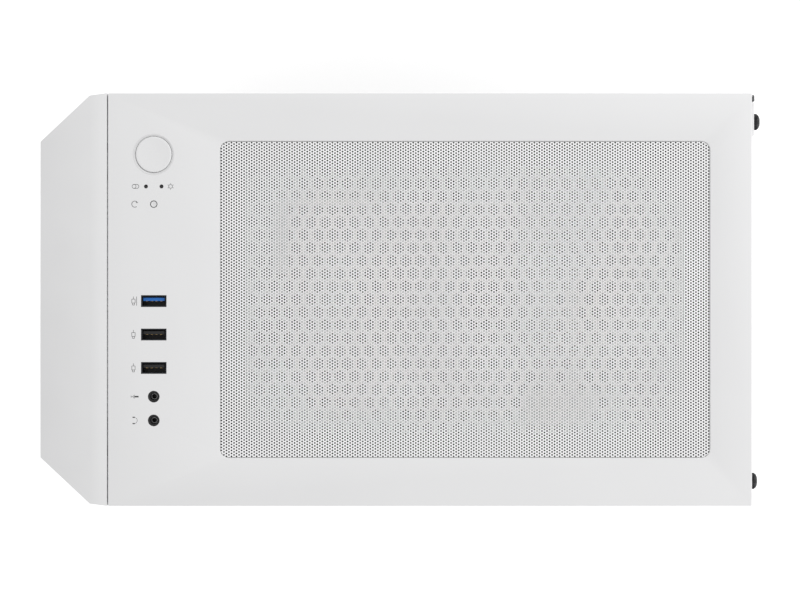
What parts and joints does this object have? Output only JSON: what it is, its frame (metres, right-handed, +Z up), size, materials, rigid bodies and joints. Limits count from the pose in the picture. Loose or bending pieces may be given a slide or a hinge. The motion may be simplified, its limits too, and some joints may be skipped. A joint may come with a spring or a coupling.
{
  "type": "desktop computer tower",
  "caption": "White desktop computer tower with a magnetic top dust filter, top buttons and sockets, a glass side and working parts inside.",
  "frame": {"origin": "on the ground below the middle of the bounding box", "axes": "+Z up, the front faces -Y, the glass side faces -X and the steel side faces +X"},
  "size_m": [0.21, 0.3686, 0.48],
  "materials": {
    "white_steel": "fine textured white powder coat",
    "white_plastic": "satin white moulded plastic",
    "spun_white": "satin white with fine turned rings",
    "white_mesh": "fine perforated white sheet",
    "fan_white": "frosted white moulding",
    "black_plastic": "matte black moulding",
    "black_metal": "black satin coat",
    "bare_steel": "plated sheet steel",
    "aluminium": "bare pressed aluminium",
    "magnet_strip": "dark flexible magnet strip",
    "foot_rubber": "moulded rubber",
    "tinted_glass": "dark tinted tempered glass",
    "circuit_board": "dark solder mask",
    "blue_plastic": "blue moulding",
    "cable_sleeve": "black woven sleeve"
  },
  "bodies": {
    "chassis": {"bottom_pan": "white_steel", "rear_panel": "white_steel", "motherboard_tray": "white_steel", "front_chassis": "white_steel", "top_panel": "white_steel", "supply_shroud": "black_metal", "drive_cage": "white_steel", "front_fan_frame_bottom": "black_plastic", "front_fan_frame_middle": "black_plastic", "front_fan_frame_top": "black_plastic", "rear_fan_frame": "black_plastic", "motherboard": "circuit_board", "port_shield": "bare_steel", "cpu_heatsink": "black_metal", "cpu_fan_frame": "black_plastic", "memory_module_1": "black_metal", "memory_module_2": "black_metal", "graphics_card_shroud": "black_plastic", "graphics_card_board": "black_metal", "graphics_card_bracket": "bare_steel", "supply_case": "black_metal", "mains_inlet": "black_plastic", "hard_drive": "aluminium", "solid_state_drive": "black_metal", "main_power_cable": "cable_sleeve", "io_board": "circuit_board", "io_bracket": "black_plastic", "fast_port": "blue_plastic", "data_port_a": "black_plastic", "data_port_b": "black_plastic", "microphone_jack": "black_plastic", "headphone_jack": "black_plastic", "light_pipe": "black_plastic", "foot_front_left": "foot_rubber", "foot_front_right": "foot_rubber", "foot_rear_left": "foot_rubber", "foot_rear_right": "foot_rubber"},
    "front_cover": {"front_panel": "white_plastic", "front_mesh": "white_mesh"},
    "glass_side": {"glass_sheet": "tinted_glass", "glass_frame": "white_steel"},
    "steel_side": {"right_side_panel": "white_steel"},
    "screw_left_low": {"thumbscrew_left_low": "black_metal"},
    "screw_left_high": {"thumbscrew_left_high": "black_metal"},
    "screw_right_low": {"thumbscrew_right_low": "black_metal"},
    "screw_right_high": {"thumbscrew_right_high": "black_metal"},
    "power_key": {"power_button": "spun_white"},
    "reset_key": {"reset_button": "white_plastic"},
    "top_filter": {"top_filter_magnet": "magnet_strip", "top_filter_mesh": "white_mesh"},
    "supply_filter": {"bottom_filter": "black_plastic"},
    "rocker": {"supply_rocker": "black_plastic"},
    "front_rotor_bottom": {"front_fan_rotor_bottom": "fan_white"},
    "front_rotor_middle": {"front_fan_rotor_middle": "fan_white"},
    "front_rotor_top": {"front_fan_rotor_top": "fan_white"},
    "rear_rotor": {"rear_fan_rotor": "fan_white"},
    "cpu_rotor": {"cpu_fan_rotor": "black_plastic"},
    "graphics_rotor_1": {"graphics_fan_rotor_1": "black_plastic"},
    "graphics_rotor_2": {"graphics_fan_rotor_2": "black_plastic"},
    "supply_rotor": {"supply_fan_rotor": "black_plastic"}
  },
  "joints": [
    {"name": "front_cover_pull", "type": "slide", "parent": "chassis", "child": "front_cover", "axis": [0, -1, 0], "range_m": [0, 0.06]},
    {"name": "glass_side_slide", "type": "slide", "parent": "chassis", "child": "glass_side", "axis": [0, 1, 0], "range_m": [0, 0.34]},
    {"name": "steel_side_slide", "type": "slide", "parent": "chassis", "child": "steel_side", "axis": [0, 1, 0], "range_m": [0, 0.34]},
    {"name": "screw_left_low_draw", "type": "slide", "parent": "glass_side", "child": "screw_left_low", "axis": [0, 1, 0], "range_m": [0, 0.008]},
    {"name": "screw_left_high_draw", "type": "slide", "parent": "glass_side", "child": "screw_left_high", "axis": [0, 1, 0], "range_m": [0, 0.008]},
    {"name": "screw_right_low_draw", "type": "slide", "parent": "steel_side", "child": "screw_right_low", "axis": [0, 1, 0], "range_m": [0, 0.008]},
    {"name": "screw_right_high_draw", "type": "slide", "parent": "steel_side", "child": "screw_right_high", "axis": [0, 1, 0], "range_m": [0, 0.008]},
    {"name": "power_press", "type": "slide", "parent": "chassis", "child": "power_key", "axis": [0, 0, -1], "range_m": [0, 0.0012], "stiffness_N_per_m": 1500, "springref_m": -0.0003},
    {"name": "reset_press", "type": "slide", "parent": "chassis", "child": "reset_key", "axis": [0, 0, -1], "range_m": [0, 0.0008], "stiffness_N_per_m": 1500, "springref_m": -0.0003},
    {"name": "top_filter_lift", "type": "slide", "parent": "chassis", "child": "top_filter", "axis": [0, 0, 1], "range_m": [0, 0.05]},
    {"name": "supply_filter_slide", "type": "slide", "parent": "chassis", "child": "supply_filter", "axis": [0, 1, 0], "range_m": [0, 0.17]},
    {"name": "rocker_tilt", "type": "hinge", "parent": "chassis", "child": "rocker", "pos_m": [0.014, 0.17305, 0.067], "axis": [1, 0, 0], "range_deg": [0, 11.7]},
    {"name": "front_rotor_bottom_spin", "type": "hinge", "parent": "chassis", "child": "front_rotor_bottom", "pos_m": [0, -0.13455, 0.118], "axis": [0, 1, 0], "continuous": true},
    {"name": "front_rotor_middle_spin", "type": "hinge", "parent": "chassis", "child": "front_rotor_middle", "pos_m": [0, -0.13455, 0.248], "axis": [0, 1, 0], "continuous": true},
    {"name": "front_rotor_top_spin", "type": "hinge", "parent": "chassis", "child": "front_rotor_top", "pos_m": [0, -0.13455, 0.378], "axis": [0, 1, 0], "continuous": true},
    {"name": "rear_rotor_spin", "type": "hinge", "parent": "chassis", "child": "rear_rotor", "pos_m": [-0.036, 0.16305, 0.378], "axis": [0, 1, 0], "continuous": true},
    {"name": "cpu_rotor_spin", "type": "hinge", "parent": "chassis", "child": "cpu_rotor", "pos_m": [-0.022, 0.05055, 0.336], "axis": [0, 1, 0], "continuous": true},
    {"name": "graphics_rotor_1_spin", "type": "hinge", "parent": "chassis", "child": "graphics_rotor_1", "pos_m": [0.00125, -0.00865, 0.2055], "axis": [0, 0, 1], "continuous": true},
    {"name": "graphics_rotor_2_spin", "type": "hinge", "parent": "chassis", "child": "graphics_rotor_2", "pos_m": [0.00125, 0.08735, 0.2055], "axis": [0, 0, 1], "continuous": true},
    {"name": "supply_rotor_spin", "type": "hinge", "parent": "chassis", "child": "supply_rotor", "pos_m": [0.0014, 0.10135, 0.036], "axis": [0, 0, 1], "continuous": true}
  ]
}
